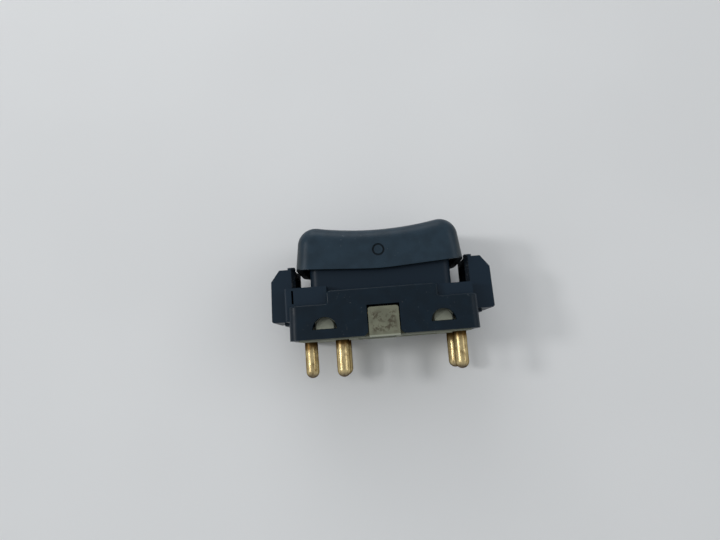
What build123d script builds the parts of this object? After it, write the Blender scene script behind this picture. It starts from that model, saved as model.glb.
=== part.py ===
from build123d import *
import os
from math import atan2, cos, degrees, hypot, radians, sin, sqrt, tan

# Panel rocker switch: a moulded housing with snap wings, a saddle-shaped rocker cap on a
# pivoting carrier, and a see-saw contact set on a base with five round pins.
# Millimetres. X runs along the rocker, Y across it, Z up; the pins stand on Z = 0.

# ---- running and assembly clearances ----
pivot_fit = 0.05          # pivot stub in its bore, and plunger in its barrel
side_gap = 0.1            # thrust and assembly gap beside a moving or pushed-in piece
touch_gap = 0.05          # between faces that meet only when the rocker moves

# ---- terminal pins ----
pin_r = 1.38
pin_reach = 7.5           # tip to shoulder
pin_shank_r = 1.0
pin_head_r = 1.3
pin_head_t = 0.45
left_pin_x = -8.75
right_pin_x = 15.25
pin_row_y = 5.0
common_pin_x = -15.75

# ---- housing: stepped lower box ----
base_stand_out = 0.3      # the base shows this much under the housing
box_half_x = 18.9
box_half_y = 10.3
box_h = 6.9
box_lean = 0.015          # the walls lean in this much for each mm of height
box_corner_r = 1.65
panel_half_x = 11.1
panel_h = 9.5
panel_corner_r = 0.8       # at the panel's top; its feet are nearly sharp
panel_foot_r = 0.3
edge_r = 0.4
end_wall = 1.5
side_wall = 1.6

# ---- housing: shoulders, key rib and neck ----
core_half_x = 17.8
core_half_y = 8.3
core_h = 9.1
shoulder_half_y = 8.8
left_shoulder_inner_x = 12.4
right_shoulder_inner_x = 11.9
left_shoulder_h = 10.6
right_shoulder_h = 9.3
right_shoulder_x = 18.2
key_slot_w = 0.4
key_rib_w = 1.4
key_rib_edge_r = 0.4
key_rib_foot = 3.9
key_slot_h = 2.7
key_slot_top_web = 0.5
neck_half_x = 14.55
neck_half_y = 6.7
neck_corner_r = 1.75
neck_top = 17.8
neck_wall = 1.2
roof_z = 8.2              # inner roof of the contact chamber, over the housing's lower edge
chamber_h = 5.9           # height of the wide part of the chamber

# ---- housing: windows ----
middle_window_half = 3.25
middle_window_h = 6.05
window_flare = 0.7
lug_window_x = 11.75
lug_window_r = 2.45
lug_window_sill = 1.85

# ---- housing: snap wings ----
wing_inner_x = 17.8
wing_bevel = 0.7           # along the web's inner edges
wing_foot_x = 23.0
wing_knee_x = 22.8
wing_knee_h = 12.6
wing_crest_x = 21.0
wing_top_h = 15.0
wing_foot_h = 4.1
wing_half_y = 5.2
wing_skin = 1.1
wing_root_x = 17.6
wing_root_h = 9.4
wing_tab_w = 1.4
wing_tab_rise = 0.4
wing_tab_len = 1.8
wing_tab_drop = 0.2
stem_x = 19.35
stem_w = 1.25
stem_foot_h = 3.4
stem_half_y = 3.6
wing_foot_chamfer = 0.3

# ---- rocker cap ----
cap_half_x = 17.3
cap_half_y = 8.5
hump_x = 12.95
hump_z = 19.45
hump_r = 3.75
saddle_z = 22.0
skirt_mid_z = 13.4
skirt_end_z = 14.45
skirt_mid_r = 55.0
cap_edge_r = 2.9
cap_wall = 1.3
cap_top_wall = 1.5
mark_z = 17.3
mark_r = 1.27
mark_w = 0.37
mark_depth = 0.3

# ---- rocker carrier ----
pivot_z = 16.3
pivot_r = 1.5
collar_r = 2.3
beam_half_x = 11.5
beam_half_y = 4.9
beam_bottom = 14.8
beam_top = 18.2
row_y = 2.6               # plungers, blades and contacts lie this far each side of the middle
tower_half_x = 2.35
tower_bottom = 9.0
barrel_top = 15.0
clip_x = 6.5
clip_t = 1.2
clip_half_y = 2.5
clip_hook = 0.45
clip_hook_h = 1.0
stop_rib_x = 9.6
stop_rib_t = 1.0
stop_rib_half_y = 4.0

# ---- plungers and springs ----
plunger_r = 1.4
plunger_tip_z = 5.05
plunger_shoulder_z = 11.5
spigot_r = 0.6
spigot_h = 1.2
wire_r = 0.2
wire_sides = 6            # the wire is a hexagonal bar here, to keep its mesh small
spring_r = 1.05
spring_turns = 3.5

# ---- contact set ----
deck_z = 2.3
strip_t = 0.5
contact_x = 9.0
contact_r = 0.9
contact_t = 0.5
blade_z = 4.6             # underside of the blades, and the axis they rock about
blade_t = 0.4
blade_end = 1.2           # blade past the middle of its contact
blade_half_x = contact_x + blade_end
blade_corner_r = 1.2
blade_half_y = 1.5
blade_waist = 1.25
waist_half_x = 0.45
common_half_w = 0.8
common_end_r = 1.3
fixed_strip_w = 2.6
saddle_t = 0.5
saddle_ear_h = 0.9
saddle_ear_w = 0.6

# ---- terminal base ----
base_half_x = box_half_x - end_wall - side_gap
base_half_y = box_half_y - side_wall - side_gap
base_corner_r = 0.8
tongue_setback = 0.15     # outer face of the tongue behind the housing's lower edge
tongue_corner_r = 0.5
tongue_side_gap = 0.2
tongue_top_gap = 0.45
lug_reach = 1.0
lug_nose_r = 1.7
lug_post_half = 2.0
lug_post_t = 1.1
lug_post_top = 5.1
pocket_depth = 0.8
pocket_x0, pocket_x1 = -5.6, 11.6
pocket_half_y = 4.6
pocket_rib_t = 1.0
pin_hole_gap = 0.02

base_z = pin_reach                       # underside of the base
edge_z = base_z + base_stand_out         # lower edge of the housing: heights count from here
deep = 60.0                              # longer than any cut needs


def block(x0, x1, y0, y1, z0, z1):
    """A box given by its limits, with heights counted from the housing's lower edge."""
    size = Box(x1 - x0, y1 - y0, z1 - z0, align=(Align.MIN, Align.MIN, Align.MIN))
    return Pos(x0, y0, edge_z + z0) * size


def post(x, y, r, z0, z1):
    """An upright cylinder, with heights counted from the housing's lower edge."""
    shaft = Cylinder(r, z1 - z0, align=(Align.CENTER, Align.CENTER, Align.MIN))
    return Pos(x, y, edge_z + z0) * shaft


def cross_pin(x, z, r, y0, y1):
    """A cylinder along Y."""
    turned = Rot(-90, 0, 0) * Cylinder(r, y1 - y0, align=(Align.CENTER, Align.CENTER, Align.MIN))
    return Pos(x, y0, edge_z + z) * turned


def across(outline, half_y):
    """Extrude an X-Z outline equally to both sides of the middle plane."""
    return Pos(0, 0, edge_z) * extrude(Plane.XZ * outline, half_y, both=True)


def along(outline, half_x):
    """Extrude a Y-Z outline equally to both sides of the cross plane."""
    return Pos(0, 0, edge_z) * extrude(Plane.YZ * outline, half_x, both=True)


def mirrored(piece, plane):
    return piece + mirror(piece, plane)


# ---- housing ----

def box_end(z):
    return box_half_x - box_lean * z


def box_face(z):
    return box_half_y - box_lean * z


def stepped_box():
    """Lower box with the raised middle panel on both long faces, leaning walls, soft edges."""
    outline = Polygon(
        (-box_end(0), 0), (box_end(0), 0), (box_end(box_h), box_h), (panel_half_x, box_h),
        (panel_half_x, panel_h), (-panel_half_x, panel_h), (-panel_half_x, box_h),
        (-box_end(box_h), box_h), align=None)
    steps = outline.vertices().filter_by(lambda v: abs(v.X) < panel_half_x + 1).group_by(Axis.Y)
    outline = fillet(steps[-1], panel_corner_r)
    feet = outline.vertices().filter_by(lambda v: abs(v.X) < panel_half_x + 1).group_by(Axis.Y)
    outline = fillet(feet[0], panel_foot_r)
    section = Polygon(
        (-box_face(0), 0), (box_face(0), 0), (box_face(panel_h), panel_h),
        (-box_face(panel_h), panel_h), align=None)
    body = across(outline, box_half_y + 1) & along(section, box_half_x + 1)
    corners = body.edges().filter_by(
        lambda e: abs(e.center().X) > panel_half_x and e.bounding_box().size.Z > box_h * 0.9)
    body = fillet(corners, box_corner_r)
    rims = body.edges().filter_by(
        lambda e: e.center().Z > edge_z + box_h - 0.3
        and abs(e.center().Y) > core_half_y
        and e.bounding_box().size.Y < box_half_y - shoulder_half_y)
    body = fillet(rims, edge_r)
    inside = block(-deep, deep, -shoulder_half_y, shoulder_half_y, box_h, deep)
    return body - inside


def wing():
    """Right-hand snap wing: a channel open towards the neck, with a stiffening stem."""
    outline = Polygon(
        (wing_root_x, wing_foot_h), (wing_foot_x - wing_foot_chamfer, wing_foot_h),
        (wing_foot_x, wing_foot_h + wing_foot_chamfer), (wing_knee_x, wing_knee_h),
        (wing_crest_x, wing_top_h), (wing_inner_x, wing_top_h),
        (wing_inner_x, wing_root_h), (wing_root_x, wing_root_h), align=None)
    body = across(outline, wing_half_y)
    tab = block(wing_inner_x, wing_inner_x + wing_tab_w, -wing_half_y,
                wing_tab_len - wing_half_y, wing_top_h, wing_top_h + wing_tab_rise)
    bevel = Polygon(
        (wing_inner_x, -wing_half_y), (wing_inner_x + wing_bevel, -wing_half_y),
        (wing_inner_x, wing_bevel - wing_half_y), align=None)
    corner = Pos(0, 0, edge_z + wing_root_h) * extrude(bevel, wing_top_h - wing_root_h)
    body -= mirrored(corner, Plane.XZ)
    body += mirrored(tab, Plane.XZ)
    body -= block(wing_root_x, wing_inner_x + wing_tab_w, wing_tab_len - wing_half_y,
                  wing_half_y - wing_tab_len, wing_top_h - wing_tab_drop, deep)
    hollow = Polygon(
        (0, wing_foot_h + wing_skin), (wing_foot_x - wing_skin, wing_foot_h + wing_skin),
        (wing_knee_x - wing_skin, wing_knee_h - wing_skin / 2),
        (wing_crest_x - wing_skin, wing_top_h - wing_skin - wing_tab_drop),
        (0, wing_top_h - wing_skin - wing_tab_drop), align=None)
    body -= across(hollow, wing_half_y - wing_skin)
    body += block(stem_x, stem_x + stem_w, -stem_half_y, stem_half_y,
                  stem_foot_h, wing_root_h)
    return body


def key_rib():
    """Keying rib at the front left corner, parted from the shoulder by a slot."""
    slot_x = core_half_x + key_slot_w
    outer_x = slot_x + key_rib_w
    rib = block(-outer_x, -slot_x, -shoulder_half_y, -wing_half_y,
                key_rib_foot, left_shoulder_h)
    rib = fillet(rib.edges().filter_by(Axis.Z).group_by(Axis.Y)[0].sort_by(Axis.X)[0],
                 key_rib_edge_r)
    top = left_shoulder_h - key_slot_top_web
    bridge = block(-slot_x - key_slot_w, -left_shoulder_inner_x, -shoulder_half_y, -wing_half_y,
                   box_h, left_shoulder_h)
    slot = block(-slot_x, -core_half_x, -deep, -wing_half_y, top - key_slot_h, top)
    return rib + bridge - slot


def housing():
    body = stepped_box()
    body += block(-core_half_x, core_half_x, -core_half_y, core_half_y, box_h - 1, core_h)
    body += block(-core_half_x, -left_shoulder_inner_x, -shoulder_half_y, shoulder_half_y,
                  box_h - 1, left_shoulder_h)
    body += block(right_shoulder_inner_x, right_shoulder_x, -shoulder_half_y, shoulder_half_y,
                  box_h - 1, right_shoulder_h)
    body += key_rib()
    neck = RectangleRounded(2 * neck_half_x, 2 * neck_half_y, neck_corner_r)
    body += Pos(0, 0, edge_z + box_h) * extrude(neck, neck_top - box_h)
    body += mirrored(wing(), Plane.YZ)

    body -= block(-box_end(0) + end_wall, box_end(0) - end_wall,
                  side_wall - box_face(0), box_face(0) - side_wall, -1, chamber_h)
    body -= block(neck_wall - core_half_x, core_half_x - neck_wall,
                  neck_wall - core_half_y, core_half_y - neck_wall, 0, roof_z)
    bore = RectangleRounded(2 * (neck_half_x - neck_wall), 2 * (neck_half_y - neck_wall),
                            neck_corner_r - neck_wall / 2)
    body -= Pos(0, 0, edge_z) * extrude(bore, deep)
    body -= cross_pin(0, pivot_z, pivot_r + pivot_fit, -deep, deep)

    flare = middle_window_half + window_flare
    window = Polygon(
        (-flare, -1), (flare, -1), (flare, 0), (middle_window_half, window_flare),
        (middle_window_half, middle_window_h), (-middle_window_half, middle_window_h),
        (-middle_window_half, window_flare), (-flare, 0), align=None)
    body -= across(window, deep)
    for x in (-lug_window_x, lug_window_x):
        hole = cross_pin(x, lug_window_sill, lug_window_r, -deep, deep)
        body -= hole & block(-deep, deep, -deep, deep, lug_window_sill, deep)
    return body


# ---- rocker cap ----

def cap_block(inset, top_inset, foot):
    """Closed saddle block; inset moves every wall in, and foot gives its open end."""
    r = hump_r - inset
    low = saddle_z - top_inset
    reach = low - hump_z
    big = (hump_x ** 2 + reach ** 2 - r ** 2) / (2 * (r - reach))
    peak_x = hump_x * big / (big + r)
    peak_z = low + big - (low + big - hump_z) * big / (big + r)
    end_x = cap_half_x - inset
    end_z = skirt_end_z
    # the end wall is the tangent from the skirt's corner to the hump
    gap = hypot(end_x - hump_x, end_z - hump_z)
    turn = atan2(end_z - hump_z, end_x - hump_x) + atan2(sqrt(gap ** 2 - r ** 2), r)
    side = (hump_x + r * cos(turn), hump_z + r * sin(turn))
    half = radians(45) + turn / 2
    crown = (hump_x + r * cos(half), hump_z + r * sin(half))
    right_hump = ThreePointArc(side, crown, (peak_x, peak_z))
    saddle = ThreePointArc((peak_x, peak_z), (0, low), (-peak_x, peak_z))
    left_hump = ThreePointArc((-peak_x, peak_z), (-crown[0], crown[1]), (-side[0], side[1]))
    skirt = foot(end_x, side)
    return across(make_face([right_hump, saddle, left_hump] + skirt), cap_half_y - inset)


def open_skirt(end_x, side):
    """Straight walls down past the skirt's edge."""
    below = skirt_mid_z - cap_wall
    corner = (end_x, skirt_end_z)
    foot = (end_x, below)
    return [Line((-side[0], side[1]), (-corner[0], corner[1])),
            Line((-corner[0], corner[1]), (-foot[0], foot[1])),
            Line((-foot[0], foot[1]), foot), Line(foot, corner), Line(corner, side)]


def vee_skirt(end_x, side):
    """Shallow V edge with a rounded middle."""
    slope = atan2(skirt_end_z - skirt_mid_z, cap_half_x)
    bend_x = skirt_mid_r * sin(slope)
    bend_z = skirt_mid_z + bend_x * tan(slope)
    low = bend_z - skirt_mid_r * (1 - cos(slope))
    corner = (end_x, skirt_end_z)
    return [Line((-side[0], side[1]), (-corner[0], corner[1])),
            Line((-corner[0], corner[1]), (-bend_x, bend_z)),
            ThreePointArc((-bend_x, bend_z), (0, low), (bend_x, bend_z)),
            Line((bend_x, bend_z), corner), Line(corner, side)]


def rocker_cap():
    body = cap_block(0, 0, vee_skirt)
    rims = body.edges().filter_by(
        lambda e: abs(e.center().Y) > cap_half_y * 0.8
        and e.center().Z > edge_z + skirt_end_z + 0.4)
    body = fillet(rims, cap_edge_r)
    hollow = cap_block(cap_wall, cap_top_wall, open_skirt)
    body -= hollow

    # clip legs that snap under the carrier's beam, and ribs that rest on it
    leg = block(clip_x - clip_t / 2, clip_x + clip_t / 2, -clip_half_y, clip_half_y,
                beam_bottom - touch_gap - clip_hook_h, saddle_z)
    hook = Polygon(
        (clip_x + clip_t / 2, beam_bottom - touch_gap - clip_hook_h),
        (clip_x + clip_t / 2 + clip_hook, beam_bottom - touch_gap),
        (clip_x + clip_t / 2, beam_bottom - touch_gap), align=None)
    rib = block(stop_rib_x - stop_rib_t / 2, stop_rib_x + stop_rib_t / 2,
                -stop_rib_half_y, stop_rib_half_y, beam_top, saddle_z)
    fittings = mirrored(leg + across(hook, clip_half_y) + rib, Plane.YZ)
    body += fittings & hollow

    ring = (cross_pin(0, mark_z, mark_r, -cap_half_y, mark_depth - cap_half_y)
            - cross_pin(0, mark_z, mark_r - mark_w, -cap_half_y, mark_depth - cap_half_y))
    return body - ring


def rocker_carrier():
    body = block(-beam_half_x, beam_half_x, -beam_half_y, beam_half_y, beam_bottom, beam_top)
    body += block(-tower_half_x, tower_half_x, -beam_half_y, beam_half_y,
                  tower_bottom, beam_bottom)
    collar_y = neck_half_y - neck_wall - side_gap
    body += cross_pin(0, pivot_z, collar_r, -collar_y, collar_y) & block(
        -deep, deep, -deep, deep, beam_bottom - 1, beam_top)
    stub_y = neck_half_y - side_gap
    body += cross_pin(0, pivot_z, pivot_r, -stub_y, stub_y)
    for y in (-row_y, row_y):
        body -= post(0, y, plunger_r + pivot_fit, tower_bottom - 1, barrel_top)
    for x in (-clip_x, clip_x):
        half = clip_t / 2 + side_gap + clip_hook * (x > 0)
        other = clip_t / 2 + side_gap + clip_hook * (x < 0)
        body -= block(x - other, x + half, -clip_half_y - side_gap, clip_half_y + side_gap,
                      beam_bottom - 1, beam_top + 1)
        catch = clip_t / 2 + touch_gap
        outer = x + catch if x > 0 else x - half - clip_hook
        inner = x + half + clip_hook if x > 0 else x - catch
        body += block(outer, inner, -clip_half_y - side_gap, clip_half_y + side_gap,
                      beam_bottom, beam_bottom + clip_hook_h)
    return body


# ---- plungers and springs ----

def plunger(y):
    centre_z = plunger_tip_z + plunger_r
    body = post(0, y, plunger_r, centre_z, plunger_shoulder_z)
    body += Pos(0, y, edge_z + centre_z) * Sphere(plunger_r)
    body += post(0, y, spigot_r, plunger_shoulder_z, plunger_shoulder_z + spigot_h)
    return body


def plunger_spring(y):
    rise = barrel_top - plunger_shoulder_z - 2 * wire_r - 2 * pin_hole_gap
    path = Helix(pitch=rise / spring_turns, height=rise, radius=spring_r)
    start = Plane(origin=path @ 0, z_dir=path % 0)
    coil = sweep(start * RegularPolygon(wire_r, wire_sides), path=path)
    return Pos(0, y, edge_z + plunger_shoulder_z + wire_r + pin_hole_gap) * coil


# ---- contact set ----

def contact_blade(y):
    """See-saw strip with a waist that straddles its saddle."""
    outline = Rectangle(2 * blade_half_x, 2 * blade_half_y)
    outline = fillet(outline.vertices(), blade_corner_r)
    for side in (-1, 1):
        notch = Rectangle(2 * waist_half_x, 2 * (blade_half_y - blade_waist))
        outline -= Pos(0, side * blade_half_y) * notch
    return Pos(0, y, edge_z + blade_z) * extrude(outline, blade_t)


def moving_contacts(y):
    """Two round contacts, welded under the ends of a blade."""
    return Compound([post(x, y, contact_r, blade_z - contact_t, blade_z)
                     for x in (-contact_x, contact_x)])


def fixed_contacts():
    """Four round contacts, welded on top of the fixed strips."""
    top = deck_z + strip_t
    return Compound([post(x, y, contact_r, top, top + contact_t)
                     for x in (-contact_x, contact_x) for y in (-row_y, row_y)])


def fixed_strip(pin_x, side, contact_side):
    """Flat strip from a pin to the place under one end of a blade."""
    pin = Vector(pin_x, side * pin_row_y)
    contact = Vector(contact_side * contact_x, side * row_y)
    middle = (pin + contact) / 2
    run = contact - pin
    flat = Rot(0, 0, degrees(atan2(run.Y, run.X))) * SlotCenterToCenter(run.length, fixed_strip_w)
    strip = Pos(middle.X, middle.Y, edge_z + deck_z) * extrude(flat, strip_t)
    return strip - post(pin.X, pin.Y, pin_shank_r + pin_hole_gap, deck_z, deck_z + strip_t)


def common_strip():
    """Strip from the common pin to the two saddles that the blades rock on."""
    top = deck_z + strip_t
    ear_y = row_y + blade_half_y + side_gap + saddle_ear_w
    body = post(common_pin_x, 0, common_end_r, deck_z, top)
    body += block(common_pin_x, 2 * common_half_w, -common_half_w, common_half_w, deck_z, top)
    body += block(-2 * common_half_w, 2 * common_half_w, -ear_y, ear_y, deck_z, top)
    half_t = saddle_t / 2
    rock_z = blade_z - touch_gap / 2
    plate = block(-half_t, half_t, -ear_y, ear_y, top, blade_z + saddle_ear_h)
    for y in (-row_y, row_y):
        slot_half = blade_waist + side_gap
        plate -= block(-deep, deep, y - slot_half, y + slot_half, rock_z - half_t, deep)
        plate += cross_pin(0, rock_z - half_t, half_t, y - slot_half, y + slot_half)
    inner = row_y - blade_waist - side_gap
    plate -= block(-deep, deep, -inner + saddle_ear_w, inner - saddle_ear_w, top, deep)
    body += plate
    return body - post(common_pin_x, 0, pin_shank_r + pin_hole_gap, deck_z, top)


# ---- base and pins ----

def snap_lug(x):
    """Post behind the front wall with half a cone, cut to a ramp, that catches the window's sill."""
    back = -base_half_y
    body = block(x - lug_post_half, x + lug_post_half, back, back + lug_post_t,
                 deck_z, lug_post_top)
    radius = lug_window_r - 2 * side_gap
    sill = lug_window_sill + side_gap
    ramp = Polygon((-back, sill), (lug_reach - back, sill), (-back, sill + radius), align=None)
    wedge = mirror(Pos(x, 0, 0) * along(ramp, lug_window_r), Plane.XZ)
    cone = Cone(radius, lug_nose_r, lug_reach, align=(Align.CENTER, Align.CENTER, Align.MIN))
    nose = Pos(x, back, edge_z + sill) * (Rot(90, 0, 0) * cone)
    return body + (wedge & nose)


def terminal_base():
    plate = RectangleRounded(2 * base_half_x, 2 * base_half_y, base_corner_r)
    body = Pos(0, 0, base_z) * extrude(plate, deck_z + base_stand_out)
    tongue_half = middle_window_half - tongue_side_gap
    tongue_top = middle_window_h - tongue_top_gap
    tongue = Polygon(
        (-tongue_half, -base_stand_out), (tongue_half, -base_stand_out),
        (tongue_half, tongue_top), (-tongue_half, tongue_top), align=None)
    tongue = fillet(tongue.vertices().group_by(Axis.Y)[-1], tongue_corner_r)
    reach = box_half_y - tongue_setback
    body += across(tongue, reach) - block(-deep, deep, lug_post_t - base_half_y,
                                          base_half_y - lug_post_t, deck_z, deep)
    lugs = snap_lug(-lug_window_x) + snap_lug(lug_window_x)
    body += mirrored(lugs, Plane.XZ)
    middle = (pocket_x0 + pocket_x1) / 2
    for x0, x1 in ((pocket_x0, middle - pocket_rib_t / 2), (middle + pocket_rib_t / 2, pocket_x1)):
        body -= block(x0, x1, -pocket_half_y, pocket_half_y,
                      -base_stand_out, pocket_depth - base_stand_out)
    for x, y in pin_places():
        body -= post(x, y, pin_shank_r + pin_hole_gap, -1, deck_z + 1)
    return body


def pin_places():
    return [(common_pin_x, 0), (left_pin_x, -pin_row_y), (left_pin_x, pin_row_y),
            (right_pin_x, -pin_row_y), (right_pin_x, pin_row_y)]


def terminal_pin(x, y):
    """Round pin with a ball end, a shoulder under the base and a riveted head on the strip."""
    top = edge_z + deck_z + strip_t + pin_head_t
    outline = Polygon(
        (0, pin_r), (pin_r, pin_r), (pin_r, pin_reach), (pin_shank_r, pin_reach),
        (pin_shank_r, top - pin_head_t), (pin_head_r, top - pin_head_t),
        (pin_head_r, top), (0, top), align=None)
    shaft = revolve(Plane.XZ * outline, Axis.Z)
    return Pos(x, y, 0) * (shaft + Pos(0, 0, pin_r) * Sphere(pin_r))


parts = {
    "housing": housing(),
    "rocker_cap": rocker_cap(),
    "rocker_carrier": rocker_carrier(),
    "terminal_base": terminal_base(),
    "common_strip": common_strip(),
    "fixed_contacts": fixed_contacts(),
}
for name, side in (("front", -1), ("rear", 1)):
    parts["plunger_" + name] = plunger(side * row_y)
    parts["plunger_spring_" + name] = plunger_spring(side * row_y)
    parts["contact_blade_" + name] = contact_blade(side * row_y)
    parts["moving_contacts_" + name] = moving_contacts(side * row_y)
    parts["fixed_strip_left_" + name] = fixed_strip(left_pin_x, side, -1)
    parts["fixed_strip_right_" + name] = fixed_strip(right_pin_x, side, 1)
for number, place in enumerate(pin_places(), start=1):
    parts["terminal_pin_" + str(number)] = terminal_pin(*place)

os.makedirs("parts", exist_ok=True)
for name, shape in parts.items():
    export_step(shape, "parts/" + name + ".step")
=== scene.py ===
import math

import bmesh
import bpy
from bpy.props import FloatProperty, FloatVectorProperty, PointerProperty
from bpy.types import Operator, Panel, PropertyGroup
from mathutils import Matrix, Vector


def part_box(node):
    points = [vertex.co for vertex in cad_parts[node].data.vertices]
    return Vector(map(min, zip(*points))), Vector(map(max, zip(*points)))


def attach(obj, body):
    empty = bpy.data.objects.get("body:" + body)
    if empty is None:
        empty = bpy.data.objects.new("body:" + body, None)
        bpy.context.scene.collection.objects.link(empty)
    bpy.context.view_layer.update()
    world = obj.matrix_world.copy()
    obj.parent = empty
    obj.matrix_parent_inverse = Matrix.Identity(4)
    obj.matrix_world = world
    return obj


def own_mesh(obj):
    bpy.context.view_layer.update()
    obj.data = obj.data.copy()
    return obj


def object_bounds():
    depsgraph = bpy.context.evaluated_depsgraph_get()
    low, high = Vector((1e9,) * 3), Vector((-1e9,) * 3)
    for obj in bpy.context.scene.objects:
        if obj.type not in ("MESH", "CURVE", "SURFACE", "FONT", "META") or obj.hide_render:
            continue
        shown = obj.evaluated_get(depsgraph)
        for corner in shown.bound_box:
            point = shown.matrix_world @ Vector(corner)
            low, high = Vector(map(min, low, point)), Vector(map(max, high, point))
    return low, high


bl_info = {
    "name": "Panel rocker switch",
    "version": (1, 0, 0),
    "blender": (4, 5, 0),
    "location": "View3D > Sidebar > Switch",
    "description": "Finishes a panel rocker switch for a car's lights and its studio",
    "category": "Object",
}

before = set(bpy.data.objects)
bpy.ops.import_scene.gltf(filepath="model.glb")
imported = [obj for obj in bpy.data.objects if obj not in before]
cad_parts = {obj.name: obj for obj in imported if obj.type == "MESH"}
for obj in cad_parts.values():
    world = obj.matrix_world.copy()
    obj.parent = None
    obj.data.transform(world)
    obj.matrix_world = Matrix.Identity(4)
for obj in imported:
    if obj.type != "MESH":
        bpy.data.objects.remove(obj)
cad_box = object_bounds()
MM = 0.001
PAST = 1.0 * MM  # how far a mark's box reaches past the piece where nothing limits it


# ---- settings -----------------------------------------------------------------------------------

def colour(name, about, value):
    """A colour that the user can change."""
    return FloatVectorProperty(name=name, description=about, subtype="COLOR", size=3,
                               min=0.0, max=1.0, default=value)


def length(name, about, value):
    """A length that the user can change, in metres."""
    return FloatProperty(name=name, description=about, subtype="DISTANCE", unit="LENGTH",
                         min=0.0, precision=5, default=value)


class PlasticSettings(PropertyGroup):
    """Colours and sizes of the moulded pieces."""
    housing: colour("Housing", "Plastic of the housing", (0.0026, 0.0102, 0.0188))
    # Painted light: the faces set back from the front and rear panels are coloured lighter and
    # bluer, standing in for the light that reaches them
    painted_recess_light: colour("Bloom", "Housing plastic where hands don't rub it", (0.0070, 0.0178, 0.0315))
    rocker: colour("Rocker", "Plastic of the rocker cap", (0.0166, 0.0325, 0.0485))
    # Painted highlight: a lighter, greyer colour on the cap's rounded ends stands in for the sheen
    # of light on them
    wear_and_sheen: colour("Rubbed", "Rocker plastic on its greyed ends", (0.034, 0.044, 0.050))
    carrier: colour("Carrier", "Plastic of the inner carrier", (0.009, 0.012, 0.016))
    base: colour("Base", "Plastic of the terminal base", (0.155, 0.160, 0.115))
    # Painted light: the lugs and the underside of the terminal base are coloured paler, standing in
    # for the light on them
    painted_base_light: colour("Bleached", "Paler lugs and foot of the terminal base", (0.245, 0.26, 0.215))
    grime: colour("Grime", "Brown stains on the terminal base", (0.065, 0.055, 0.038))
    plunger: colour("Plunger", "Slippery plastic of the plungers", (0.72, 0.71, 0.65))
    grain: length("Grain", "Size of the fine moulded grain", 0.12 * MM)
    ring_height: length("Ring height", "Middle of the ring mark over the housing's lower edge",
                        17.3 * MM)
    ring_radius: length("Ring radius", "Radius of the ring mark's line", 1.085 * MM)
    ring_width: length("Ring width", "Width of the ring mark's line", 0.30 * MM)
    stroke: length("Plunger stroke", "How far a plunger goes in", 0.8 * MM)
    dust: colour("Dust", "Dust that lies in the grain", (0.42, 0.43, 0.44))


class MetalSettings(PropertyGroup):
    """Colours of the pins, strips, contacts and springs."""
    brass: colour("Brass", "Clean brass of the pins", (0.71, 0.57, 0.30))
    tarnish: colour("Tarnish", "Brown tarnish on the pins", (0.14, 0.080, 0.026))
    worn: colour("Worn tip", "Greyish metal at the pins' tips", (0.13, 0.11, 0.09))
    strip: colour("Strip", "Stamped strips and blades", (0.62, 0.44, 0.19))
    contact: colour("Contact", "The small contacts on the strips and blades", (0.72, 0.71, 0.68))
    spring: colour("Spring", "Drawn spring wire", (0.46, 0.46, 0.47))


class StudioSettings(PropertyGroup):
    """The paper, the camera and the lights."""
    paper: colour("Paper", "Floor and backdrop", (0.78, 0.79, 0.80))
    daylight: colour("Daylight", "Colour of the even light all round", (0.96, 0.985, 1.0))
    lens: FloatProperty(name="Lens", description="Focal length on a 36 mm sensor",
                        subtype="DISTANCE_CAMERA", unit="CAMERA", default=27.16)
    eye_back: length("Eye distance", "Camera in front of the switch's middle", 117.3 * MM)
    eye_side: FloatProperty(name="Eye side", description="Camera to the side of the middle",
                            subtype="DISTANCE", unit="LENGTH", default=-1.93 * MM)
    eye_height: length("Eye height", "Camera above the pin tips", 4.78 * MM)
    heading: FloatProperty(name="Heading", description="Turn of the view to the left",
                           subtype="ANGLE", unit="ROTATION", default=math.radians(1.09))
    climb: FloatProperty(name="Climb", description="Upward tilt of the view",
                         subtype="ANGLE", unit="ROTATION", default=math.radians(8.54))
    roll: FloatProperty(name="Roll", description="Roll of the camera about its view",
                        subtype="ANGLE", unit="ROTATION", default=math.radians(-4.27))
    window: FloatProperty(name="Window", description="Strength of the soft light at the left",
                          subtype="POWER", unit="POWER", min=0.0, default=1.82)
    lamp: FloatProperty(name="Lamp", description="Strength of the softer light beside it",
                        subtype="POWER", unit="POWER", min=0.0, default=0.81)
    fill: FloatProperty(name="Fill", description="Strength of the weak, wide light at the right",
                        subtype="POWER", unit="POWER", min=0.0, default=0.9)
    top: FloatProperty(name="Top light", description="Strength of the soft light over the switch",
                       subtype="POWER", unit="POWER", min=0.0, default=0.24)
    sky: FloatProperty(name="Sky", description="Strength of the even light all round",
                       min=0.0, default=0.505)


# ---- material helpers ---------------------------------------------------------------------------

def material(name):
    """A new node material with its tree, its shader and object coordinates in metres."""
    made = bpy.data.materials.new(name)
    made.use_nodes = True
    tree = made.node_tree
    shader = tree.nodes["Principled BSDF"]
    place = tree.nodes.new("ShaderNodeTexCoord").outputs["Object"]
    return made, tree, shader, place


def noise(tree, place, size, detail=3.0, roughness=0.5, stretch=(1.0, 1.0, 1.0)):
    """Noise whose blotches are about size metres across."""
    mapping = tree.nodes.new("ShaderNodeMapping")
    mapping.inputs["Scale"].default_value = [s / size for s in stretch]
    texture = tree.nodes.new("ShaderNodeTexNoise")
    texture.inputs["Scale"].default_value = 1.0
    texture.inputs["Detail"].default_value = detail
    texture.inputs["Roughness"].default_value = roughness
    tree.links.new(place, mapping.inputs["Vector"])
    tree.links.new(mapping.outputs["Vector"], texture.inputs["Vector"])
    return texture.outputs["Fac"]


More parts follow.
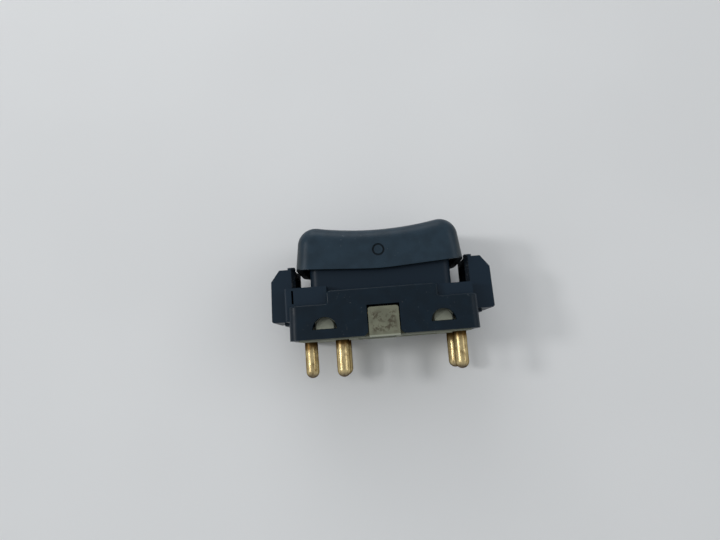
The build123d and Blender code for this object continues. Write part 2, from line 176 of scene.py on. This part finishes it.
def ramp(tree, value, low, high, to_low=0.0, to_high=1.0):
    """Maps value from low..high to to_low..to_high, smoothly and clamped."""
    node = tree.nodes.new("ShaderNodeMapRange")
    node.interpolation_type = "SMOOTHSTEP"
    for socket, number in zip(("From Min", "From Max", "To Min", "To Max"),
                              (low, high, to_low, to_high)):
        node.inputs[socket].default_value = number
    tree.links.new(value, node.inputs["Value"])
    return node.outputs["Result"]


def calc(tree, kind, first, second):
    """A Math node on two sockets or numbers."""
    node = tree.nodes.new("ShaderNodeMath")
    node.operation = kind
    for socket, value in zip(node.inputs, (first, second)):
        if isinstance(value, (int, float)):
            socket.default_value = value
        else:
            tree.links.new(value, socket)
    return node.outputs["Value"]


def lerp(tree, share, under, over):
    """Mixes two numbers, each a socket or a number."""
    rest = calc(tree, "SUBTRACT", 1.0, share)
    return calc(tree, "ADD", calc(tree, "MULTIPLY", under, rest),
                calc(tree, "MULTIPLY", share, over))


def blend(tree, share, under, over):
    """Mixes two colours, each a socket or a colour."""
    node = tree.nodes.new("ShaderNodeMix")
    node.data_type = "RGBA"
    tree.links.new(share, node.inputs["Factor"])
    for socket, value in ((node.inputs[6], under), (node.inputs[7], over)):
        if isinstance(value, bpy.types.NodeSocket):
            tree.links.new(value, socket)
        else:
            socket.default_value = (*value, 1.0)
    return node.outputs[2]


def bump(tree, shader, height, depth):
    """Feeds a height in 0..1 to the shader's normal; depth is in metres."""
    node = tree.nodes.new("ShaderNodeBump")
    node.inputs["Strength"].default_value = 1.0
    node.inputs["Distance"].default_value = depth
    tree.links.new(height, node.inputs["Height"])
    tree.links.new(node.outputs["Normal"], shader.inputs["Normal"])


def vector(tree, kind, first, second=None):
    """A Vector Math node on a socket and, where it takes two, a vector."""
    node = tree.nodes.new("ShaderNodeVectorMath")
    node.operation = kind
    tree.links.new(first, node.inputs[0])
    if second is not None:
        node.inputs[1].default_value = second
    return node.outputs["Value" if kind in ("LENGTH", "DOT_PRODUCT") else "Vector"]


def along(tree, way, direction):
    """How far a way, given as a socket, goes along a direction."""
    return vector(tree, "DOT_PRODUCT", way, direction)


def height_of(tree, place):
    """The Z part of a place, in metres."""
    node = tree.nodes.new("ShaderNodeSeparateXYZ")
    tree.links.new(place, node.inputs["Vector"])
    return node.outputs["Z"]


def tint(value, share):
    """A colour made lighter (share over 1) or darker."""
    return [min(1.0, v * share) for v in value]


def moulded_plastic(name, base, grain, dust, dusty, gloss, relief, marks=()):
    """Moulded plastic: fine eroded grain, faint mottling, specks of dust, and marks.

    Each mark is a function that gives its share of the surface, a colour and a roughness. Dusty
    is the dust's share where it lies, gloss the roughness between marks, relief the grain's depth.
    """
    made, tree, shader, place = material(name)
    mottle = ramp(tree, noise(tree, place, 2.6 * MM, 4.0), 0.35, 0.7)
    body = blend(tree, mottle, tint(base, 0.9), tint(base, 1.14))
    specks = ramp(tree, noise(tree, place, 0.45 * MM, 2.0, 0.7), 0.66, 0.82, 0.0, dusty)
    patches = ramp(tree, noise(tree, place, 5.0 * MM, 2.0), 0.4, 0.65)
    body = blend(tree, calc(tree, "MULTIPLY", specks, patches), body, dust)
    rough = ramp(tree, noise(tree, place, 1.7 * MM, 3.0), 0.3, 0.75, gloss - 0.03, gloss + 0.05)
    for mark, stain, matt in marks:
        share = mark(tree, place)
        body = blend(tree, share, body, stain)
        rough = lerp(tree, share, rough, matt)
    tree.links.new(body, shader.inputs["Base Color"])
    tree.links.new(rough, shader.inputs["Roughness"])
    shader.inputs["Specular IOR Level"].default_value = 0.18
    bump(tree, shader, noise(tree, place, grain, 2.0, 0.6), relief)
    return made


def within(low, high, fade, most=1.0):
    """A mark that fills the box from low to high and fades out over its outermost part."""
    middle = (Vector(low) + Vector(high)) / 2
    half = Vector(high) - middle

    def share(tree, place):
        away = vector(tree, "ABSOLUTE", vector(tree, "SUBTRACT", place, middle))
        node = tree.nodes.new("ShaderNodeSeparateXYZ")
        tree.links.new(vector(tree, "SUBTRACT", away, half), node.inputs["Vector"])
        out = calc(tree, "MAXIMUM", calc(tree, "MAXIMUM", node.outputs["X"], node.outputs["Y"]),
                   node.outputs["Z"])
        return ramp(tree, out, -fade, 0.0, most, 0.0)
    return share


def blotted(mark, size, low, high):
    """A mark broken up into blots of a size."""
    def share(tree, place):
        blots = ramp(tree, noise(tree, place, size, 5.0, 0.62), low, high)
        return calc(tree, "MULTIPLY", mark(tree, place), blots)
    return share


def ring(middle, radius, width, most):
    """A mark that fills a ring in the XZ plane, on the front only."""
    edge = 0.1 * MM

    def share(tree, place):
        flat = vector(tree, "MULTIPLY", vector(tree, "SUBTRACT", place, middle), (1.0, 0.0, 1.0))
        outward = calc(tree, "SUBTRACT", vector(tree, "LENGTH", flat), radius)
        off = calc(tree, "ABSOLUTE", outward, 0.0)
        line = ramp(tree, off, width / 2, width / 2 + edge, most, 0.0)
        front = ramp(tree, along(tree, place, (0.0, -1.0, 0.0)), 0.0, 1.0 * MM)
        return calc(tree, "MULTIPLY", line, front)
    return share


def turned_brass(name, clean, tarnish, worn, root, tip):
    """Turned brass pin: gold with brown streaks, nearly black at its root, greyish at its tip."""
    made, tree, shader, place = material(name)
    height = height_of(tree, place)

    film = noise(tree, place, 1.5 * MM, 3.0, 0.6, (1.0, 1.0, 0.5))
    warm = blend(tree, ramp(tree, film, 0.35, 0.68, 0.0, 0.7), clean, tint(clean, 0.68))

    streaks = noise(tree, place, 0.5 * MM, 4.0, 0.6, (1.0, 1.0, 0.4))
    blotches = noise(tree, place, 0.8 * MM, 4.0, 0.6, (1.0, 1.0, 0.55))
    rise = ramp(tree, height, tip + 0.45 * (root - tip), root)
    reach = calc(tree, "MULTIPLY", calc(tree, "ADD", rise, blotches), 0.62)
    stained = calc(tree, "MAXIMUM", ramp(tree, streaks, 0.46, 0.70, 0.0, 0.65),
                   ramp(tree, reach, 0.54, 0.92))
    body = blend(tree, stained, warm, tarnish)

    # Nearly black band just below the pin's root
    root_band = ramp(tree, height, root - 1.1 * MM, root - 0.3 * MM, 0.0, 0.85)
    body = blend(tree, root_band, body, tint(tarnish, 0.3))

    wear_and_sheen = ramp(tree, height, tip + 0.2 * MM, tip + 1.3 * MM, 1.0, 0.0)
    wear_and_sheen = calc(tree, "MULTIPLY", wear_and_sheen, ramp(tree, blotches, 0.35, 0.6, 0.75, 1.0))
    body = blend(tree, wear_and_sheen, body, worn)

    tree.links.new(body, shader.inputs["Base Color"])
    shader.inputs["Metallic"].default_value = 1.0
    shader.inputs["Specular Tint"].default_value = (*tint(tarnish, 1.5), 1.0)
    tree.links.new(ramp(tree, stained, 0.0, 1.0, 0.25, 0.42), shader.inputs["Roughness"])
    turning = noise(tree, place, 0.16 * MM, 2.0, 0.5, (0.05, 0.05, 1.0))
    bump(tree, shader, turning, 0.003 * MM)
    return made


def stamped_metal(name, base, rough=0.34):
    """Rolled or drawn metal: fine lines along one way and faint stain."""
    made, tree, shader, place = material(name)
    stain = ramp(tree, noise(tree, place, 1.5 * MM, 3.0), 0.35, 0.75)
    tree.links.new(blend(tree, stain, base, tint(base, 0.75)), shader.inputs["Base Color"])
    shader.inputs["Metallic"].default_value = 1.0
    lines = noise(tree, place, 0.1 * MM, 2.0, 0.5, (0.04, 1.0, 1.0))
    matt = ramp(tree, lines, 0.3, 0.7, rough - 0.06, rough + 0.08)
    tree.links.new(matt, shader.inputs["Roughness"])
    bump(tree, shader, lines, 0.003 * MM)
    return made


def finish_node(names, made):
    """Gives CAD nodes their material."""
    for name in names:
        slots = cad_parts[name].data.materials
        slots.clear()
        slots.append(made)


def shoulder_ends(edge_z, made):
    """The short blocks that bring the shoulders in to the panels, front and rear at each end.

    Places and heights are in millimetres, and heights count from the housing's lower edge. Each
    side has its panel's end, its shoulder's end and its top, and each row its two depths.
    """
    panel_x = 11.05
    bottom_h = 6.88
    sides = ((-panel_x, -12.4, 10.6), (panel_x, 11.9, 9.3))
    rows = ((-8.8, -6.7), (8.8, 6.7))
    box_faces = ((0, 1, 2, 3), (4, 5, 6, 7), (0, 1, 5, 4), (1, 2, 6, 5), (2, 3, 7, 6), (3, 0, 4, 7))
    points, faces = [], []
    for inner, outer, top_h in sides:
        for near, far in rows:
            first = len(points)
            corners = ((inner, near), (outer, near), (outer, far), (inner, far))
            points += [(x * MM, y * MM, edge_z + h * MM) for h in (bottom_h, top_h)
                       for x, y in corners]
            faces += [[first + k for k in face] for face in box_faces]
    mesh = bpy.data.meshes.new("shoulder_ends")
    mesh.from_pydata(points, [], faces)
    shape = bmesh.new()
    shape.from_mesh(mesh)
    bmesh.ops.recalc_face_normals(shape, faces=shape.faces)
    shape.to_mesh(mesh)
    shape.free()
    piece = bpy.data.objects.new("shoulder_ends", mesh)
    bpy.context.scene.collection.objects.link(piece)
    mesh.materials.append(made)
    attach(piece, "switch_body")


def wing_linings(low, high):
    """Marks on the inner faces of the two wings, above the shoulders: painted shade and dust dots.
    """
    web_x = 17.8 * MM
    half_y = 5.35 * MM
    shoulder_h = 9.3 * MM
    before, after = 0.8 * MM, 0.75 * MM
    return [within((x - before, -half_y, low.z + shoulder_h), (x + after, half_y, high.z + PAST),
                   0.15 * MM, 0.8) for x in (-web_x, web_x)]


# ---- operators ----------------------------------------------------------------------------------

class SWITCH_OT_housing(Operator):
    """Finish the housing in grained dark plastic"""
    bl_idname = "switch.housing"
    bl_label = "Housing"

    def execute(self, context):
        plastic = context.scene.switch_plastic
        low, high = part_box("housing")
        panel_rise = 0.7 * MM  # how far the panels stand out before the recessed faces
        # Painted light: every face set back from the outer panels gets the lighter, bluer recess
        # colour, so the panels read darker
        recessed = within((low.x - PAST, low.y + panel_rise, low.z - PAST),
                          (high.x + PAST, high.y - panel_rise, high.z + PAST), 0.3 * MM)
        linings = wing_linings(low, high)
        marks = [(recessed, plastic.painted_recess_light, 0.42)]
        # Painted shade: the wings' inner faces, turned from the light and shaded by the cap, are
        # coloured darker
        marks += [(lining, tint(plastic.housing, 0.4), 0.8) for lining in linings]
        marks += [(blotted(lining, 0.35 * MM, 0.56, 0.66), tint(plastic.dust, 0.25), 0.8)
                  for lining in linings]
        made = moulded_plastic("housing_plastic", plastic.housing, plastic.grain, plastic.dust,
                               0.3, 0.38, 0.012 * MM, marks)
        finish_node(["housing"], made)
        shoulder_ends(low.z, made)
        return {"FINISHED"}


class SWITCH_OT_rocker(Operator):
    """Finish the rocker cap and its carrier"""
    bl_idname = "switch.rocker"
    bl_label = "Rocker"

    def execute(self, context):
        plastic = context.scene.switch_plastic
        low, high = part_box("rocker_cap")
        edge_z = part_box("housing")[0].z
        wall = 1.1 * MM  # from the cap's outside to its hollow
        crown = 3.7 * MM  # from the cap's highest point to its hollow
        # Painted shade: the cap's hollow and its lowest rim are coloured near-black, where shade
        # falls inside and under the cap
        hollow = within((low.x + wall, low.y + wall, low.z - PAST),
                        (high.x - wall, high.y - wall, high.z - crown), 0.2 * MM, 0.85)
        skirt = 0.7 * MM  # the outer part of the wall, which keeps its own colour without the painted shade
        rim_height = 1.2 * MM
        rim = within((low.x - PAST, low.y + skirt, low.z - PAST),
                     (high.x + PAST, high.y - skirt, low.z + rim_height), 0.1 * MM, 0.85)
        reach = 1.9 * MM  # how far the painted sheen on the cap's ends comes in
        # Painted highlight: the cap's two ends are coloured lighter and greyer where light would
        # catch their rounding
        ends = [within((x - reach, low.y - 2 * PAST, low.z), (x + reach, high.y + 2 * PAST, high.z),
                       1.1 * MM, 0.8) for x in (low.x, high.x)]
        dirty_ring = ring((0.0, 0.0, edge_z + plastic.ring_height), plastic.ring_radius,
                          plastic.ring_width, 0.6)
        painted_shade = tint(plastic.rocker, 0.12)
        marks = [(end, plastic.wear_and_sheen, 0.42) for end in ends]
        marks += [(hollow, painted_shade, 1.0), (rim, painted_shade, 1.0),
                  (dirty_ring, tint(plastic.rocker, 0.2), 0.8)]
        finish_node(["rocker_cap"], moulded_plastic(
            "rocker_plastic", plastic.rocker, plastic.grain, plastic.dust,
            0.25, 0.36, 0.009 * MM, marks))
        finish_node(["rocker_carrier"], moulded_plastic(
            "carrier_plastic", plastic.carrier, plastic.grain, plastic.dust, 0.1, 0.5, 0.008 * MM))
        return {"FINISHED"}


class SWITCH_OT_base(Operator):
    """Finish the light terminal base"""
    bl_idname = "switch.base"
    bl_label = "Terminal base"

    def execute(self, context):
        plastic = context.scene.switch_plastic
        low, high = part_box("terminal_base")
        edge_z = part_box("housing")[0].z
        tongue_half_x = 3.0 * MM
        tongue_height = 5.2 * MM
        tongue = within((-tongue_half_x, low.y - PAST, edge_z),
                        (tongue_half_x, low.y + PAST, edge_z + tongue_height), 1.3 * MM)
        # Painted light: the lugs in the half-round windows are coloured paler, standing in for the
        # light that falls on them there
        lug_x = 11.75 * MM
        lug_half_x = 2.6 * MM
        lugs = [within((x - lug_half_x, low.y - PAST, edge_z),
                       (x + lug_half_x, high.y + PAST, high.z), 0.5 * MM, 0.6)
                for x in (-lug_x, lug_x)]
        # Painted light: the base's downward-facing underside is coloured paler still, standing in
        # for light from below
        foot = within((low.x - PAST, low.y - PAST, low.z - PAST),
                      (high.x + PAST, high.y + PAST, edge_z + 0.1 * MM), 0.2 * MM, 0.65)
        marks = [(lug, plastic.painted_base_light, 0.6) for lug in lugs]
        marks += [(foot, tint(plastic.painted_base_light, 1.5), 0.6),
                  (blotted(tongue, 0.7 * MM, 0.46, 0.60), plastic.grime, 0.8)]
        finish_node(["terminal_base"], moulded_plastic(
            "base_plastic", plastic.base, plastic.grain, plastic.grime,
            0.4, 0.55, 0.008 * MM, marks))
        return {"FINISHED"}


class SWITCH_OT_pins(Operator):
    """Finish the round terminal pins in tarnished brass"""
    bl_idname = "switch.pins"
    bl_label = "Pins"

    def execute(self, context):
        metal = context.scene.switch_metal
        names = sorted(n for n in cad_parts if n.startswith("terminal_pin"))
        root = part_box("terminal_base")[0].z
        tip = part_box(names[0])[0].z
        brass = turned_brass("pin_brass", metal.brass, metal.tarnish, metal.worn, root, tip)
        finish_node(names, brass)
        return {"FINISHED"}


class SWITCH_OT_contacts(Operator):
    """Finish the stamped strips, the blades and their contacts"""
    bl_idname = "switch.contacts"
    bl_label = "Contact set"

    def execute(self, context):
        metal = context.scene.switch_metal
        strips = [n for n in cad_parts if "strip" in n or "blade" in n]
        contacts = [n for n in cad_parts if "contacts" in n]
        finish_node(sorted(strips), stamped_metal("strip_brass", metal.strip))
        finish_node(sorted(contacts), stamped_metal("contact_metal", metal.contact, 0.3))
        return {"FINISHED"}


class SWITCH_OT_plungers(Operator):
    """Finish the plungers and their springs"""
    bl_idname = "switch.plungers"
    bl_label = "Plungers"

    def execute(self, context):
        plastic = context.scene.switch_plastic
        metal = context.scene.switch_metal
        finish_node(["plunger_front", "plunger_rear"], moulded_plastic(
            "plunger_plastic", plastic.plunger, plastic.grain, plastic.dust, 0.1, 0.4, 0.004 * MM))
        finish_node(["plunger_spring_front", "plunger_spring_rear"],
                    stamped_metal("spring_steel", metal.spring, 0.3))
        for row in ("front", "rear"):
            spring = "plunger_spring_" + row
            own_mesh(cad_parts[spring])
        return {"FINISHED"}


# ---- studio -------------------------------------------------------------------------------------

def seen(tree):
    """1 for the rays that show a surface to the camera, straight or in metal and glass, else 0."""
    path = tree.nodes.new("ShaderNodeLightPath")
    mirrored = calc(tree, "MAXIMUM", path.outputs["Is Glossy Ray"],
                    path.outputs["Is Transmission Ray"])
    return calc(tree, "MAXIMUM", path.outputs["Is Camera Ray"], mirrored)


def paper_material(paper):
    """Pale paper: faint cloudiness and fibre grain. From behind it is clear."""
    made, tree, shader, place = material("studio_paper")
    cloud = ramp(tree, noise(tree, place, 60 * MM, 2.0), 0.3, 0.7)
    tree.links.new(blend(tree, cloud, tint(paper, 0.97), paper), shader.inputs["Base Color"])
    shader.inputs["Roughness"].default_value = 0.9
    shader.inputs["Specular IOR Level"].default_value = 0.1
    bump(tree, shader, noise(tree, place, 0.4 * MM, 3.0), 0.01 * MM)
    side = tree.nodes.new("ShaderNodeNewGeometry").outputs["Backfacing"]
    front = calc(tree, "SUBTRACT", 1.0, side)
    shown = calc(tree, "MULTIPLY", seen(tree), front)

    clear = tree.nodes.new("ShaderNodeBsdfTransparent")
    mixed = tree.nodes.new("ShaderNodeMixShader")
    tree.links.new(shown, mixed.inputs["Fac"])
    tree.links.new(clear.outputs["BSDF"], mixed.inputs[1])
    tree.links.new(shader.outputs["BSDF"], mixed.inputs[2])
    tree.links.new(mixed.outputs["Shader"], tree.nodes["Material Output"].inputs["Surface"])
    return made


def studio_paper(paper):
    """The sheet of paper that the switch lies on with its back."""
    gap = 0.1 * MM
    sheet_y = cad_box[1].y + gap
    half = 700 * MM
    corners = ((-half, -half), (half, -half), (half, half), (-half, half))
    points = [(x, sheet_y, z) for x, z in corners]
    mesh = bpy.data.meshes.new("studio_paper")
    mesh.from_pydata(points, [], [(0, 1, 2, 3)])
    mesh.update()
    sheet = bpy.data.objects.new("studio_paper", mesh)
    bpy.context.scene.collection.objects.link(sheet)
    sheet.data.materials.append(paper_material(paper))


def studio_world(scene, light, level, side, lean, pale):
    """Even light from front and back, dimmer at the sides, and pale where it is seen.

    The level is the light's strength from front and back, side the sides' share of it, and lean
    the way in which the light grows.
    """
    world = bpy.data.worlds.new("studio_world")
    scene.world = world
    world.use_nodes = True
    tree = world.node_tree
    way = tree.nodes.new("ShaderNodeTexCoord").outputs["Generated"]
    ahead = calc(tree, "ABSOLUTE", along(tree, way, (0.0, 1.0, 0.0)), 0.0)
    shade = ramp(tree, ahead, 0.0, 0.8, level * side, level)
    shade = calc(tree, "MULTIPLY", shade, calc(tree, "ADD", along(tree, way, lean), 1.0))
    sky = tree.nodes["Background"]
    sky.inputs["Color"].default_value = (*light, 1.0)
    tree.links.new(shade, sky.inputs["Strength"])
    backdrop = tree.nodes.new("ShaderNodeBackground")
    backdrop.inputs["Color"].default_value = (*pale, 1.0)
    mixed = tree.nodes.new("ShaderNodeMixShader")
    tree.links.new(seen(tree), mixed.inputs["Fac"])
    tree.links.new(sky.outputs["Background"], mixed.inputs[1])
    tree.links.new(backdrop.outputs["Background"], mixed.inputs[2])
    tree.links.new(mixed.outputs["Shader"], tree.nodes["World Output"].inputs["Surface"])


def soft_light(name, place, aim, size, power):
    """A square soft light at place, facing aim."""
    lamp = bpy.data.lights.new(name, "AREA")
    lamp.shape = "SQUARE"
    lamp.size = size
    lamp.energy = power
    piece = bpy.data.objects.new(name, lamp)
    bpy.context.scene.collection.objects.link(piece)
    piece.location = place
    piece.rotation_mode = "QUATERNION"
    piece.rotation_quaternion = (Vector(aim) - Vector(place)).to_track_quat("-Z", "Y")


def studio_camera(scene, studio):
    """The camera before the switch's front, turned, tilted and rolled as set."""
    lens = bpy.data.cameras.new("camera")
    lens.lens = studio.lens
    lens.clip_start = 10 * MM
    camera = bpy.data.objects.new("camera", lens)
    scene.collection.objects.link(camera)
    eye = Vector((studio.eye_side, -studio.eye_back, studio.eye_height))
    turn = (Matrix.Rotation(studio.heading, 4, "Z")
            @ Matrix.Rotation(math.pi / 2 + studio.climb, 4, "X")
            @ Matrix.Rotation(studio.roll, 4, "Z"))
    camera.matrix_world = Matrix.Translation(eye) @ turn
    scene.camera = camera


def studio_lights(studio, middle):
    """Three soft lights 1 m before the switch and a soft one over it.

    Each of the three has its name, its degrees to the left and up, its size and its strength.
    """
    for name, side, rise, size, power in (("window", 50, 6.5, 0.12, studio.window),
                                          ("lamp", 38, 6.5, 0.17, studio.lamp),
                                          ("fill", -50, 10, 0.4, studio.fill)):
        turn = (Matrix.Rotation(math.radians(-side), 4, "Z")
                @ Matrix.Rotation(math.radians(-rise), 4, "X"))
        soft_light(name, middle + (turn @ Vector((0, -1.0, 0))), middle, size, power)
    soft_light("top", middle + Vector((-0.05, -0.10, 0.30)), middle, 0.2, studio.top)


class SWITCH_OT_stage(Operator):
    """Set up the camera, the soft lights and the pale paper"""
    bl_idname = "switch.stage"
    bl_label = "Studio"

    def execute(self, context):
        scene = context.scene
        studio = scene.switch_studio
        low, high = cad_box
        studio_camera(scene, studio)
        studio_lights(studio, (low + high) / 2)
        studio_world(scene, studio.daylight, studio.sky, side=0.9, lean=(0.1, 0.0, 0.5),
                     pale=tint(studio.paper, 0.7))
        studio_paper(studio.paper)
        scene.view_settings.view_transform = "Standard"
        return {"FINISHED"}


class SWITCH_PT_panel(Panel):
    """Lists the steps that finish the switch"""
    bl_idname = "SWITCH_PT_panel"
    bl_label = "Panel rocker switch"
    bl_space_type = "VIEW_3D"
    bl_region_type = "UI"
    bl_category = "Switch"

    def draw(self, context):
        for step in steps:
            self.layout.operator(step.bl_idname)
        for group in ("switch_plastic", "switch_metal", "switch_studio"):
            settings = getattr(context.scene, group)
            box = self.layout.box()
            for name in settings.__annotations__:
                box.prop(settings, name)


settings_groups = {
    "switch_plastic": PlasticSettings,
    "switch_metal": MetalSettings,
    "switch_studio": StudioSettings,
}
steps = (SWITCH_OT_housing, SWITCH_OT_rocker, SWITCH_OT_base, SWITCH_OT_pins,
         SWITCH_OT_contacts, SWITCH_OT_plungers, SWITCH_OT_stage)


def register():
    """Makes the settings, operators and panel known to Blender."""
    for kind in (*settings_groups.values(), *steps, SWITCH_PT_panel):
        bpy.utils.register_class(kind)
    for name, kind in settings_groups.items():
        setattr(bpy.types.Scene, name, PointerProperty(type=kind))


def unregister():
    """Takes the settings, operators and panel out again."""
    for name in settings_groups:
        delattr(bpy.types.Scene, name)
    for kind in reversed((*settings_groups.values(), *steps, SWITCH_PT_panel)):
        bpy.utils.unregister_class(kind)


def main():
    """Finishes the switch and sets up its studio."""
    register()
    for step in steps:
        area, call = step.bl_idname.split(".")
        getattr(getattr(bpy.ops, area), call)()


if __name__ == "__main__":
    main()
